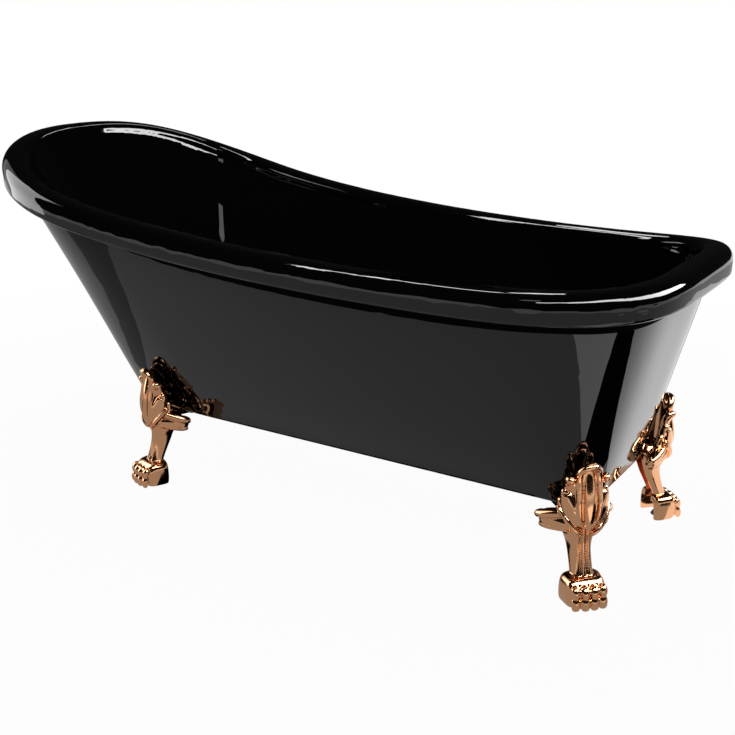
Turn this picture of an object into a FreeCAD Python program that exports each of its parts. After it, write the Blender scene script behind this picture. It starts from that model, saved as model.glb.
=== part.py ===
import FreeCAD, Part
import math
import os

# Slipper bath on four claw feet, in millimetres.
# +X points to the low, squared foot end, -X to the high, round head end, +Z up.
# The origin lies on the floor under the middle of the bath.

V = FreeCAD.Vector
doc = FreeCAD.newDocument("clawfoot_bath")
sheet = doc.addObject("Spreadsheet::Sheet", "Sizes")

SIZES = [
    # the rolled rim in plan and in side view
    ("bath_length", 1600.0),
    ("bath_width", 776.0),
    ("width_taper", 0.103),
    ("head_round_reach", 382.0),
    ("foot_round_reach", 430.0),
    ("head_roundness", 2.41),
    ("foot_squareness", 4.1),
    ("rim_low_height", 590.5),
    ("rim_low_margin", 326.0),
    ("head_rise", 189.0),
    ("head_sweep", 0.39),
    ("foot_lift", 17.0),
    # the section of the rim and of the two shells
    ("rim_width", 62.0),
    ("rim_drop", 55.0),
    ("rim_outer_radius", 24.0),
    ("rim_inner_radius", 20.0),
    ("lip_radius", 7.0),
    ("shell_wall", 5.0),
    ("skirt_inset", 38.0),
    ("bond_gap", 3.0),
    ("bond_clearance", 0.2),
    # the flat bottom of the outer skirt
    ("base_height", 168.0),
    ("base_head_margin", 291.0),
    ("base_foot_margin", 132.0),
    ("base_half_width", 191.0),
    ("base_head_round_reach", 659.0),
    ("base_foot_round_reach", 246.0),
    ("base_head_power", 3.7),
    ("base_foot_power", 4.7),
    ("base_edge_radius", 9.0),
    # the bathing well
    ("well_floor_rise", 58.0),
    ("well_inset", 30.0),
    ("well_floor_round", 50.0),
    # timber carrier between the two shells
    ("board_thickness", 12.0),
    ("board_inset", 34.0),
    ("bearer_width", 34.0),
    ("bearer_spacing", 168.0),
    ("bearer_head_margin", 400.0),
    ("bearer_foot_margin", 240.0),
    ("cross_bearer_margin", 500.0),
    ("carrier_gap", 0.2),
    # claw foot
    ("foot_pair_half_width", 179.0),
    ("foot_pair_margin", 160.0),
    ("foot_pair_turn", 45.0),
    ("head_pair_half_width", 189.0),
    ("head_pair_margin", 455.0),
    ("head_pair_turn", 20.0),
    ("leaf_rise", 100.0),
    ("leaf_width", 86.0),
    ("leaf_clearance", 1.8),
    ("skirt_slope", 0.385),
    ("wing_span", 136.0),
    ("shank_width", 35.0),
    ("shank_depth", 38.0),
    ("paw_width", 75.0),
    ("paw_back", 33.0),
    ("paw_depth", 50.0),
    ("paw_top", 52.0),
    ("toe_reach", 16.0),
    ("casting_wall", 7.0),
    ("floor_clearance", 1.5),
    # fixings of a foot
    ("gasket_thickness", 2.0),
    ("plate_thickness", 8.0),
    ("plate_width", 56.0),
    ("plate_inner", 75.0),
    ("plate_outer", 14.0),
    ("block_outer", 23.0),
    ("bolt_diameter", 8.0),
    ("bolt_hole_diameter", 9.0),
    ("bolt_spacing", 32.0),
    ("bolt_row", 46.0),
    ("bolt_head_height", 5.3),
    ("bolt_head_flats", 13.0),
    ("nut_height", 6.5),
    ("washer_diameter", 17.0),
    ("washer_thickness", 1.6),
    ("nut_pocket_diameter", 20.0),
    ("nut_pocket_depth", 14.0),
    # levelling screw in a paw
    ("screw_diameter", 10.0),
    ("screw_clearance", 0.06),
    ("screw_length", 40.0),
    ("screw_place", 59.0),
    ("screw_boss_diameter", 24.0),
    ("pad_diameter", 34.0),
    ("pad_thickness", 6.0),
    ("leveller_travel", 10.0),
    # waste and overflow
    ("drain_margin", 320.0),
    ("floor_hole_diameter", 46.0),
    ("access_hole_diameter", 92.0),
    ("flange_diameter", 70.0),
    ("flange_thickness", 3.0),
    ("barrel_diameter", 44.0),
    ("waste_bore", 37.0),
    ("seal_thickness", 2.0),
    ("cap_diameter", 62.0),
    ("cap_thickness", 5.0),
    ("cap_dome", 2.5),
    ("stem_diameter", 6.0),
    ("stem_clearance", 0.05),
    ("plug_travel", 9.0),
    ("outlet_diameter", 47.8),
    ("outlet_drop", 28.0),
    ("outlet_bore", 40.0),
    ("body_diameter", 58.0),
    ("body_flange_diameter", 78.0),
    ("pipe_diameter", 16.0),
    ("pipe_bore", 13.0),
    ("pipe_rise", 23.0),
    ("pipe_bend_radius", 40.0),
    ("overflow_drop", 112.5),
    ("overflow_hole_diameter", 30.0),
    ("overflow_face_diameter", 66.0),
    ("overflow_face_depth", 9.0),
    ("elbow_depth", 15.0),
    ("elbow_diameter", 40.0),
    ("compression_nut_diameter", 30.0),
]

# Places that follow from the sizes: margins run in from the ends of the bath,
# rises and drops from the flat base or the low rim.
PLACES = [
    ("head_shoulder", "=bath_length / 2 - head_round_reach"),
    ("foot_shoulder", "=bath_length / 2 - foot_round_reach"),
    ("rim_low_place", "=bath_length / 2 - rim_low_margin"),
    ("base_head_end", "=bath_length / 2 - base_head_margin"),
    ("base_foot_end", "=bath_length / 2 - base_foot_margin"),
    ("base_head_shoulder", "=bath_length / 2 - base_head_round_reach"),
    ("base_foot_shoulder", "=bath_length / 2 - base_foot_round_reach"),
    ("well_floor_height", "=base_height + well_floor_rise"),
    ("bearer_head_end", "=bath_length / 2 - bearer_head_margin"),
    ("bearer_foot_end", "=bath_length / 2 - bearer_foot_margin"),
    ("cross_bearer_place", "=bath_length / 2 - cross_bearer_margin"),
    ("foot_pair_place", "=bath_length / 2 - foot_pair_margin"),
    ("head_pair_place", "=bath_length / 2 - head_pair_margin"),
    ("leaf_height", "=base_height + leaf_rise"),
    ("drain_place", "=bath_length / 2 - drain_margin"),
    ("outlet_end_height", "=base_height - outlet_drop"),
    ("pipe_height", "=base_height + pipe_rise"),
    ("overflow_height", "=rim_low_height - overflow_drop"),
]
ROWS = SIZES + PLACES
for row, (alias, entry) in enumerate(ROWS, start=1):
    sheet.set("A%d" % row, alias)
    sheet.set("B%d" % row, str(entry))
    sheet.setAlias("B%d" % row, alias)
doc.recompute()


def size(alias):
    return float(sheet.get(alias))


def named(expression):
    """The expression with every alias read from the sheet."""
    words = sorted((alias for alias, entry in ROWS), key=len, reverse=True)
    marked = expression
    for place, word in enumerate(words):
        marked = marked.replace(word, "{%d}" % place)
    for place, word in enumerate(words):
        marked = marked.replace("{%d}" % place, "Sizes." + word)
    return marked


def bind(thing, **bindings):
    """Ties each property of a thing to a sheet expression."""
    for prop, expression in bindings.items():
        thing.setExpression(prop.replace("__", "."), named(expression))
    return thing


def solid_part(label, shape):
    """A sub-part whose shape is worked out in this file."""
    part = doc.addObject("Part::Feature", label)
    part.Label = label
    part.Shape = shape
    return part


def helper(kind, name, **bindings):
    return bind(doc.addObject(kind, name), **bindings)


SUB_PARTS = []

# ---------------------------------------------------------------------------
# Outlines of the shells: each is two rounded ends joined by long sides, given
# by steps from the middle of the foot end, round the near side, and back.

FOOT_STEPS = 9
SIDE_STEPS = 12
HEAD_STEPS = 10
HALF_STEPS = FOOT_STEPS + SIDE_STEPS + HEAD_STEPS

half_length = size("bath_length") / 2
head_share = 1 + size("width_taper") * size("head_shoulder") / half_length

RIM = {
    "foot_end": half_length,
    "head_end": half_length,
    "foot_shoulder": size("foot_shoulder"),
    "head_shoulder": size("head_shoulder"),
    "half_width": size("bath_width") / 2 / head_share,
    "foot_power": size("foot_squareness"),
    "head_power": size("head_roundness"),
    "taper": size("width_taper"),
}
BASE = {
    "foot_end": size("base_foot_end"),
    "head_end": size("base_head_end"),
    "foot_shoulder": size("base_foot_shoulder"),
    "head_shoulder": size("base_head_shoulder"),
    "half_width": size("base_half_width"),
    "foot_power": size("base_foot_power"),
    "head_power": size("base_head_power"),
    "taper": 0.0,
}


def rounded_end(reach, half_width, power, angle):
    """A point of a squared-off half ellipse, by the angle from its middle."""
    along = math.cos(angle)
    across = math.sin(angle)
    radius = (abs(along) ** power + abs(across) ** power) ** (-1 / power)
    return reach * along * radius, half_width * across * radius


def outline_point(plan, step):
    """The plan position of one step; steps past the head end mirror the near side."""
    if step < 0 or step > HALF_STEPS:
        mirrored = -step if step < 0 else 2 * HALF_STEPS - step
        x, y = outline_point(plan, mirrored)
        return x, -y
    foot_reach = plan["foot_end"] - plan["foot_shoulder"]
    head_reach = plan["head_end"] - plan["head_shoulder"]
    if step <= FOOT_STEPS:
        angle = math.pi / 2 * step / FOOT_STEPS
        x, y = rounded_end(foot_reach, plan["half_width"], plan["foot_power"], angle)
        x = plan["foot_shoulder"] + x
    elif step <= FOOT_STEPS + SIDE_STEPS:
        share = (step - FOOT_STEPS) / SIDE_STEPS
        x = plan["foot_shoulder"] * (1 - share) - plan["head_shoulder"] * share
        y = plan["half_width"]
    else:
        angle = math.pi / 2 * (HALF_STEPS - step) / HEAD_STEPS
        x, y = rounded_end(head_reach, plan["half_width"], plan["head_power"], angle)
        x = -plan["head_shoulder"] - x
    return x, -y * (1 - plan["taper"] * x / half_length)


def outline_inset(plan, step, inset):
    """The outline point moved inwards, square to the outline."""
    nudge = 0.02
    x0, y0 = outline_point(plan, step - nudge)
    x1, y1 = outline_point(plan, step + nudge)
    run = math.hypot(x1 - x0, y1 - y0)
    x, y = outline_point(plan, step)
    return x + inset * (y1 - y0) / run, y - inset * (x1 - x0) / run


def rim_height(x):
    """Height of the rim's crown: flat towards the foot end, sweeping up to the head."""
    low = size("rim_low_place")
    if x > low:
        share = (x - low) / (half_length - low)
        return size("rim_low_height") + size("foot_lift") * share ** 2
    share = (low - x) / (low + half_length)
    sweep = size("head_sweep")
    return size("rim_low_height") + size("head_rise") * ((1 - sweep) * share ** 2 + sweep * share ** 5)


def rim_ring(inset, drop):
    """A ring that follows the rim at one place of its section."""
    points = []
    for step in range(2 * HALF_STEPS):
        x, y = outline_inset(RIM, step, inset)
        outer_x = outline_point(RIM, step)[0]
        points.append(V(x, y, rim_height(outer_x) - drop))
    return points


def base_ring(inset, height):
    """A level ring like the flat bottom of the skirt, drawn in by the inset all round."""
    drawn_in = dict(BASE)
    for reach in ("foot_end", "head_end", "half_width"):
        drawn_in[reach] = BASE[reach] - inset
    return [V(*outline_point(drawn_in, step), height) for step in range(2 * HALF_STEPS)]


def between(upper, lower, share):
    return [a * (1 - share) + b * share for a, b in zip(upper, lower)]


def round_section(inset_centre, drop_centre, radius, first, last, count):
    """Rings round a corner of the rim's section, from one angle to another in degrees."""
    rings = []
    for place in range(count):
        angle = math.radians(first + (last - first) * place / (count - 1))
        rings.append(rim_ring(inset_centre - radius * math.cos(angle), drop_centre - radius * math.sin(angle)))
    return rings


def control_points(points):
    """Control points of the closed curve through the points, so that it starts at the first."""
    count = len(points)
    poles = [
        points[i] - (points[i - 1] - points[i] * 2 + points[(i + 1) % count]) * (1 / 6)
        for i in range(count)
    ]
    return poles[-1:] + poles[:-1]


def skin(rings, degree=3):
    """A smooth surface through the rings, as a near half and a far half."""
    grid = [control_points(ring) for ring in rings]
    count = len(grid[0])
    poles = [[ring[i] for ring in grid] for i in range(count)]
    degree = min(degree, len(rings) - 1)
    across_mults = [degree + 1] + [1] * (len(rings) - degree - 1) + [degree + 1]
    across_knots = [float(k) for k in range(len(across_mults))]
    round_knots = [float(k) for k in range(count + 1)]
    faces = []
    for half in range(2):
        surface = Part.BSplineSurface()
        surface.buildFromPolesMultsKnots(poles, [1] * (count + 1), across_mults, round_knots,
                                         across_knots, True, False, 3, degree)
        surface.setUNotPeriodic()
        surface.segment(half * count / 2, (half + 1) * count / 2, across_knots[0], across_knots[-1])
        faces.append(surface.toShape().Faces[0])
    return faces


def panels(rings):
    """Straight-sided strips from ring to ring."""
    faces = []
    for upper, lower in zip(rings, rings[1:]):
        faces += skin([upper, lower], 1)
    return faces


def level_face(ring):
    """The flat face inside a level ring."""
    count = len(ring)
    edges = []
    for half in range(2):
        curve = Part.BSplineCurve()
        curve.buildFromPolesMultsKnots(control_points(ring), [1] * (count + 1),
                                       [float(k) for k in range(count + 1)], True, 3)
        curve.setNotPeriodic()
        curve.segment(half * count / 2, (half + 1) * count / 2)
        edges.append(curve.toShape())
    return Part.Face(Part.Wire(edges))


def sewn(faces):
    shell = Part.Shell(faces)
    shell.sewShape()
    solid = Part.Solid(shell)
    if solid.Volume < 0:
        solid.reverse()
    return solid


# ---------------------------------------------------------------------------
# Basin: one thermoformed shell from the turned-in lip, up over the broad rolled
# rim and down the well to its flat floor.

wall = size("shell_wall")
lip = size("lip_radius")
outer_r = size("rim_outer_radius")
inner_r = size("rim_inner_radius")
rim_width = size("rim_width")
rim_drop = size("rim_drop")
lip_end = size("skirt_inset") - size("bond_gap")
floor_z = size("well_floor_height")
well_top = rim_ring(rim_width + 1, inner_r + 14)
well_corner = base_ring(size("well_inset"), floor_z)
QUARTER = (0, 90)

shown = [rim_ring(lip_end, rim_drop), rim_ring((lip_end + lip) / 2, rim_drop)]
shown += round_section(lip, rim_drop - lip, lip, -90, 0, 4)
shown += [rim_ring(0, (rim_drop - lip + outer_r) / 2)]
shown += round_section(outer_r, outer_r, outer_r, *QUARTER, 5)
shown += round_section(rim_width - inner_r, inner_r, inner_r, 90, 180, 5)
shown += [well_top]
shown += [between(well_top, well_corner, share) for share in (0.25, 0.5, 0.75, 0.88, 1.0)]
shown += [base_ring(size("well_inset") + size("well_floor_round") * share, floor_z) for share in (0.5, 1.0)]

hidden_corner = base_ring(size("well_inset") - wall, floor_z - wall)
hidden = [
    rim_ring(lip_end, rim_drop - wall),
    rim_ring(wall, rim_drop - wall),
    rim_ring(wall, outer_r),
    rim_ring(wall + (outer_r - wall) * 0.293, wall + (outer_r - wall) * 0.293),
    rim_ring(outer_r, wall),
    rim_ring(rim_width - inner_r, wall),
    rim_ring(rim_width - wall - (inner_r - wall) * 0.293, wall + (inner_r - wall) * 0.293),
    rim_ring(rim_width - wall, inner_r + 8),
    hidden_corner,
    base_ring(size("well_inset") + size("well_floor_round"), floor_z - wall),
]
basin_shell = sewn(skin(shown) + panels(hidden) + panels([shown[0], hidden[0]])
                   + [level_face(shown[-1]), level_face(hidden[-1])])

# The end wall of the well, in the middle plane, carries the overflow.
wall_top = well_top[0]
wall_foot = well_corner[0]
wall_run = wall_top - wall_foot
overflow_share = (size("overflow_height") - wall_foot.z) / wall_run.z
overflow_point = wall_foot + wall_run * overflow_share
wall_tilt = math.degrees(math.atan2(wall_run.x, wall_run.z))
OVERFLOW_TURN = FreeCAD.Rotation(V(0, 1, 0), 90 + wall_tilt)
overflow_out = OVERFLOW_TURN.multVec(V(0, 0, 1))


def overflow_place(depth):
    """The overflow axis, starting this far outside the wet face of the end wall."""
    return FreeCAD.Placement(overflow_point + overflow_out * depth, OVERFLOW_TURN)


drain_x = size("drain_place")
drain_cut = Part.makeCylinder(size("floor_hole_diameter") / 2, 4 * wall, V(drain_x, 0, floor_z - 3 * wall))
overflow_cut = Part.makeCylinder(size("overflow_hole_diameter") / 2, 6 * wall)
overflow_cut.Placement = overflow_place(-3 * wall)
SUB_PARTS.append(solid_part("basin", basin_shell.cut([drain_cut, overflow_cut])))

# ---------------------------------------------------------------------------
# Outer skirt: a second shell, raked in to a smaller flat base, with its top edge
# bonded up inside the hollow of the rim.

base_z = size("base_height")
inset = size("skirt_inset")
edge = size("base_edge_radius")
skirt_top_drop = wall + size("bond_gap")
skirt_shoulder = rim_ring(inset, rim_drop + 4)
skirt_foot = base_ring(0, base_z)

skirt_shown = [
    rim_ring(inset, skirt_top_drop),
    rim_ring(inset, (skirt_top_drop + rim_drop) / 2),
    skirt_shoulder,
]
skirt_shown += [between(skirt_shoulder, skirt_foot, share) for share in (0.3, 0.6, 0.85)]
skirt_shown += [
    base_ring(0, base_z + edge),
    skirt_foot,
    base_ring(edge, base_z),
    base_ring(2 * edge, base_z),
]
skirt_hidden = [
    rim_ring(inset + wall, skirt_top_drop),
    rim_ring(inset + wall, rim_drop + 4),
    base_ring(wall, base_z + wall),
    base_ring(2 * edge, base_z + wall),
]
skirt_shell = sewn(skin(skirt_shown) + panels(skirt_hidden) + panels([skirt_shown[0], skirt_hidden[0]])
                   + [level_face(skirt_shown[-1]), level_face(skirt_hidden[-1])])
access_cut = Part.makeCylinder(size("access_hole_diameter") / 2, 4 * wall, V(drain_x, 0, base_z - wall))

# Bead of adhesive between the skirt's top edge and the underside of the rim.
slack = size("bond_clearance")
bond_in = rim_width - inner_r - slack
bond_rings = [
    rim_ring(inset, wall + slack),
    rim_ring(bond_in, wall + slack),
    rim_ring(bond_in, skirt_top_drop - slack),
    rim_ring(inset, skirt_top_drop - slack),
    rim_ring(inset, wall + slack),
]
SUB_PARTS.append(solid_part("rim_bond", sewn(panels(bond_rings))))

# Bead of sealant that closes the joint between the turned-in lip and the skirt.
seal_out = lip_end + slack
seal_in = inset - slack
seal_rings = [
    rim_ring(seal_out, rim_drop - wall),
    rim_ring(seal_in, rim_drop - wall),
    rim_ring(seal_in, rim_drop),
    rim_ring(seal_out, rim_drop),
    rim_ring(seal_out, rim_drop - wall),
]
SUB_PARTS.append(solid_part("lip_seal", sewn(panels(seal_rings))))

# ---------------------------------------------------------------------------
# Timber carrier between the shells: a board glued under the well, on two bearers
# and two cross bearers that stand on the flat of the skirt.

board_top = floor_z - wall
board_under = board_top - size("board_thickness")
board = level_face(base_ring(size("board_inset"), board_under)).extrude(V(0, 0, size("board_thickness")))
board_cut = Part.makeCylinder(size("access_hole_diameter") / 2, 4 * wall, V(drain_x, 0, board_under - wall))
SUB_PARTS.append(solid_part("base_board", board.cut(board_cut)))

BEARER_HEIGHT = "well_floor_height - 2 * shell_wall - board_thickness - base_height - carrier_gap"
BEARER_LENGTH = "bearer_head_end + bearer_foot_end"
for name, side in (("near", -1), ("far", 1)):
    bearer = helper("Part::Box", "bearer_" + name, Length=BEARER_LENGTH, Width="bearer_width", Height=BEARER_HEIGHT)
    bind(bearer, Placement__Base__x="-bearer_head_end",
         Placement__Base__y="%d * bearer_spacing / 2 - bearer_width / 2" % side,
         Placement__Base__z="base_height + shell_wall")
    SUB_PARTS.append(bearer)
for name, side in (("head", -1), ("foot", 1)):
    cross = helper("Part::Box", "cross_bearer_" + name, Length="bearer_width",
                   Width="bearer_spacing - bearer_width - 2 * carrier_gap", Height=BEARER_HEIGHT)
    bind(cross, Placement__Base__x="%d * cross_bearer_place - bearer_width / 2" % side,
         Placement__Base__y="-bearer_spacing / 2 + bearer_width / 2 + carrier_gap",
         Placement__Base__z="base_height + shell_wall")
    SUB_PARTS.append(cross)

# ---------------------------------------------------------------------------
# Claw foot: a hollow casting, drawn facing +X with its back edge on the skirt.
# Acanthus leaf over a tapered shank, side volutes, and a paw with four toes.


def horn(start, end, start_radius, end_radius):
    """A tapered lobe with a ball end, the form of a leaf lobe, a volute or a toe."""
    axis = V(*end) - V(*start)
    length = axis.Length
    flat = 0.08 * end_radius
    crown = length + math.sqrt(end_radius ** 2 - flat ** 2)
    halfway = end_radius * math.sqrt(0.5)
    profile = Part.Wire([
        Part.makeLine(V(0, 0, 0), V(start_radius, 0, 0)),
        Part.makeLine(V(start_radius, 0, 0), V(end_radius, 0, length)),
        Part.Arc(V(end_radius, 0, length), V(halfway, 0, length + halfway), V(flat, 0, crown)).toShape(),
        Part.makeLine(V(flat, 0, crown), V(0, 0, crown)),
        Part.makeLine(V(0, 0, crown), V(0, 0, 0)),
    ])
    lobe = Part.Face(profile).revolve(V(0, 0, 0), V(0, 0, 1), 360)
    lobe.Placement = FreeCAD.Placement(V(*start), FreeCAD.Rotation(V(0, 0, 1), axis))
    return lobe


def joined(pieces):
    """The pieces fused one after another."""
    whole = pieces[0]
    for piece in pieces[1:]:
        whole = whole.fuse(piece)
    return whole


def shank_section(height, back, front, back_width, front_width, corner):
    """A rounded section of the leg, wider at the back than at its ridged front."""
    half_back = back_width / 2
    half_front = front_width / 2
    corners = [V(back, -half_back, height), V(front, -half_front, height),
               V(front, half_front, height), V(back, half_back, height)]
    middles = [(corners[i] + corners[(i + 1) % 4]) * 0.5 for i in range(4)]
    edges = []
    for i in range(4):
        tip = corners[i]
        start = tip + (middles[i - 1] - tip).normalize() * corner
        end = tip + (middles[i] - tip).normalize() * corner
        following = corners[(i + 1) % 4]
        next_start = following + (middles[i] - following).normalize() * corner
        bulge = tip + ((start + end) * 0.5 - tip) * 0.42
        edges.append(Part.Arc(start, bulge, end).toShape())
        edges.append(Part.makeLine(end, next_start))
    return Part.Wire(edges)


paw_half = size("paw_width") / 2
paw_back = size("paw_back")
paw_front = paw_back + size("paw_depth")
paw_top = size("paw_top")
sole = size("floor_clearance")
leaf_top = size("leaf_height")
leaf_half = size("leaf_width") / 2
slope = size("skirt_slope")
shank_w = size("shank_width")
shank_d = size("shank_depth")
cast = size("casting_wall")
gasket_under = base_z - size("gasket_thickness")
knee = gasket_under

shank_levels = [
    shank_section(paw_top - 10, paw_back + 2, paw_back + 4 + shank_d, shank_w + 10, shank_w + 6, 6),
    shank_section(paw_top + 14, 24, 24 + shank_d * 0.94, shank_w + 3, shank_w - 3, 7),
    shank_section(paw_top + 34, 17, 17 + shank_d, shank_w + 2, shank_w - 6, 7),
    shank_section(paw_top + 56, 8, 12 + shank_d, shank_w + 6, shank_w - 6, 7),
    shank_section(knee - 28, -2, 14 + shank_d, shank_w + 14, shank_w - 2, 8),
    shank_section(knee, -10, 18 + shank_d, shank_w + 22, shank_w + 4, 8),
]
shank = Part.makeLoft(shank_levels, True, False, False, 3)

# The leaf: lobes that fan up and out from one point over the shank.
leaf_root = (shank_d + 10, 0, knee - 22)
leaf_span = leaf_top - knee
lobe_r = leaf_half * 0.30
lobe_tips = [
    (44, 0.62, leaf_span * 0.62),
    (36, 0.74, leaf_span * 0.34),
    (33, 0.46, leaf_span * 0.06),
]
lobes = [
    horn(leaf_root, (slope * leaf_span + 12, 0, leaf_top - lobe_r * 1.25), lobe_r * 0.8, lobe_r * 1.25),
    Part.makeSphere(lobe_r * 1.1, V(*leaf_root) + V(-1.5, 0, 0.7), V(0, 1, 0), -80, 80),
    Part.makeSphere(leaf_half * 0.86, V(leaf_half * 0.30, 0, knee + 8), V(0, 1, 0), -82, 82),
]
for tip_u, share, rise in lobe_tips:
    for side in (-1, 1):
        lobes.append(horn(leaf_root, (tip_u, side * leaf_half * share, knee + rise), lobe_r * 0.7, lobe_r))

# The volutes: two scrolled wings that spread under the edge of the skirt.
wing_half = size("wing_span") / 2
wings = []
for side in (-1, 1):
    wings += [
        horn((18, side * 8, knee - 16), (-6, side * (wing_half - 9), knee - 10), 17, 9),
        horn((16, side * 8, knee - 34), (-2, side * (wing_half - 18), knee - 24), 14, 8),
    ]

# The paw: smooth-sided box with four toes, each a knuckle over a claw.
paw_box = Part.makeBox(size("paw_depth"), size("paw_width"), paw_top - sole, V(paw_back, -paw_half, sole))
long_edges = [e for e in paw_box.Edges if e.BoundBox.ZLength < 0.1 and e.BoundBox.ZMin > sole + 1]
paw_box = paw_box.makeFillet(9, long_edges)
toes = []
toe_pitch = size("paw_width") / 4
toe_r = toe_pitch / 2 + 0.6
for place in range(4):
    across = (place - 1.5) * toe_pitch
    reach = size("toe_reach") * (1.0 if place in (1, 2) else 0.75)
    tip_u = paw_front + reach - toe_r
    toes += [
        horn((paw_front - 22, across, paw_top - 8), (tip_u - 3, across, paw_top - toe_r - 6), toe_r, toe_r),
        horn((tip_u, across, sole - 6), (tip_u, across, sole + 14), toe_r * 0.9, toe_r * 0.96),
    ]

leaf = joined(lobes)
paw = joined([paw_box] + toes)
foot_solid = joined([leaf, shank, paw] + wings)

# Flat seats: nothing under the soles, nothing above the gasket behind the leaf.
below = Part.makeBox(400, 400, 60, V(-200, -200, sole - 60))
lean = math.degrees(math.atan(slope))
behind = Part.makeBox(400, 400, 400, V(-400, -200, 0))
behind.rotate(V(0, 0, 0), V(0, 1, 0), lean)
leaf_back = size("leaf_clearance") + 1
behind.translate(V(leaf_back, 0, knee))
above = Part.makeBox(400, 400, 400, V(leaf_back - 400, -200, knee))

# The casting's hollow, open at the back from the sole to the mounting plate.
screw_x = size("screw_place")
hollow_front = screw_x + size("pad_diameter") / 2 + 2.5
hollow_width = 2 * (paw_half - cast)
hollow_levels = [
    shank_section(-5, -20, hollow_front, hollow_width, hollow_width, 4),
    shank_section(paw_top - cast - 6, -20, hollow_front - 2, hollow_width, hollow_width, 4),
]
paw_hollow = Part.makeLoft(hollow_levels, True, True)
shank_hollow = Part.makeLoft([
    shank_section(paw_top - 2 * cast, -30, paw_back + shank_d * 0.6, shank_w - 2 * cast, shank_w - 2 * cast, 4),
    shank_section(paw_top + 34, -30, 17 + shank_d * 0.55, shank_w - 2 * cast, shank_w - 2 * cast - 4, 4),
    shank_section(knee + 4, -30, 14 + shank_d * 0.55, shank_w + 6, shank_w - cast, 4),
], True, True)

# Boss under the top of the paw for the levelling screw.
boss_low = sole + size("pad_thickness") + 5
boss = Part.makeCylinder(size("screw_boss_diameter") / 2, paw_top - cast - boss_low, V(screw_x, 0, boss_low))
screw_bore = Part.makeCylinder(size("screw_diameter") / 2 + size("screw_clearance"),
                               size("screw_length") + size("pad_thickness") + 3, V(screw_x, 0, 0))

# Mounting plate under the skirt, with the two bolt holes.
plate_under = gasket_under - size("plate_thickness")
plate = Part.makeBox(size("plate_inner") + 20, size("plate_width"), size("plate_thickness"),
                     V(-size("plate_inner"), -size("plate_width") / 2, plate_under))
bolt_places = [(-size("bolt_row"), side * size("bolt_spacing") / 2) for side in (-1, 1)]
bolt_cuts = [Part.makeCylinder(size("bolt_hole_diameter") / 2, 3 * size("plate_thickness"),
                               V(x, y, plate_under - size("plate_thickness"))) for x, y in bolt_places]

foot_cast = foot_solid.cut([below, above, behind])
foot_cast = foot_cast.cut([paw_hollow, shank_hollow])
foot_cast = foot_cast.fuse([boss, plate]).cut(bolt_cuts + [screw_bore])

FEET = []
for end, sign_x in (("head", -1), ("foot", 1)):
    for side, sign_y in (("near", -1), ("far", 1)):
        turn = size(end + "_pair_turn")
        facing = sign_y * (90 - turn) if sign_x > 0 else sign_y * (90 + turn)
        spot = V(sign_x * size(end + "_pair_place"), sign_y * size(end + "_pair_half_width"), 0)
        FEET.append((side + "_" + end, FreeCAD.Placement(spot, FreeCAD.Rotation(V(0, 0, 1), facing))))

BOLT_CENTRES = []
for name, placement in FEET:
    foot = solid_part("claw_foot_" + name, foot_cast)
    foot.Placement = placement
    SUB_PARTS.append(foot)
    BOLT_CENTRES += [placement.multVec(V(x, y, 0)) for x, y in bolt_places]

skirt_holes = [Part.makeCylinder(size("bolt_hole_diameter") / 2, 3 * wall, V(c.x, c.y, base_z - wall))
               for c in BOLT_CENTRES]
SUB_PARTS.append(solid_part("outer_skirt", skirt_shell.cut([access_cut] + skirt_holes)))


def at(placement, x, y, z):
    """A placement in the foot's own frame, carried to the bath's frame."""
    return placement.multiply(FreeCAD.Placement(V(x, y, z), FreeCAD.Rotation()))


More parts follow.
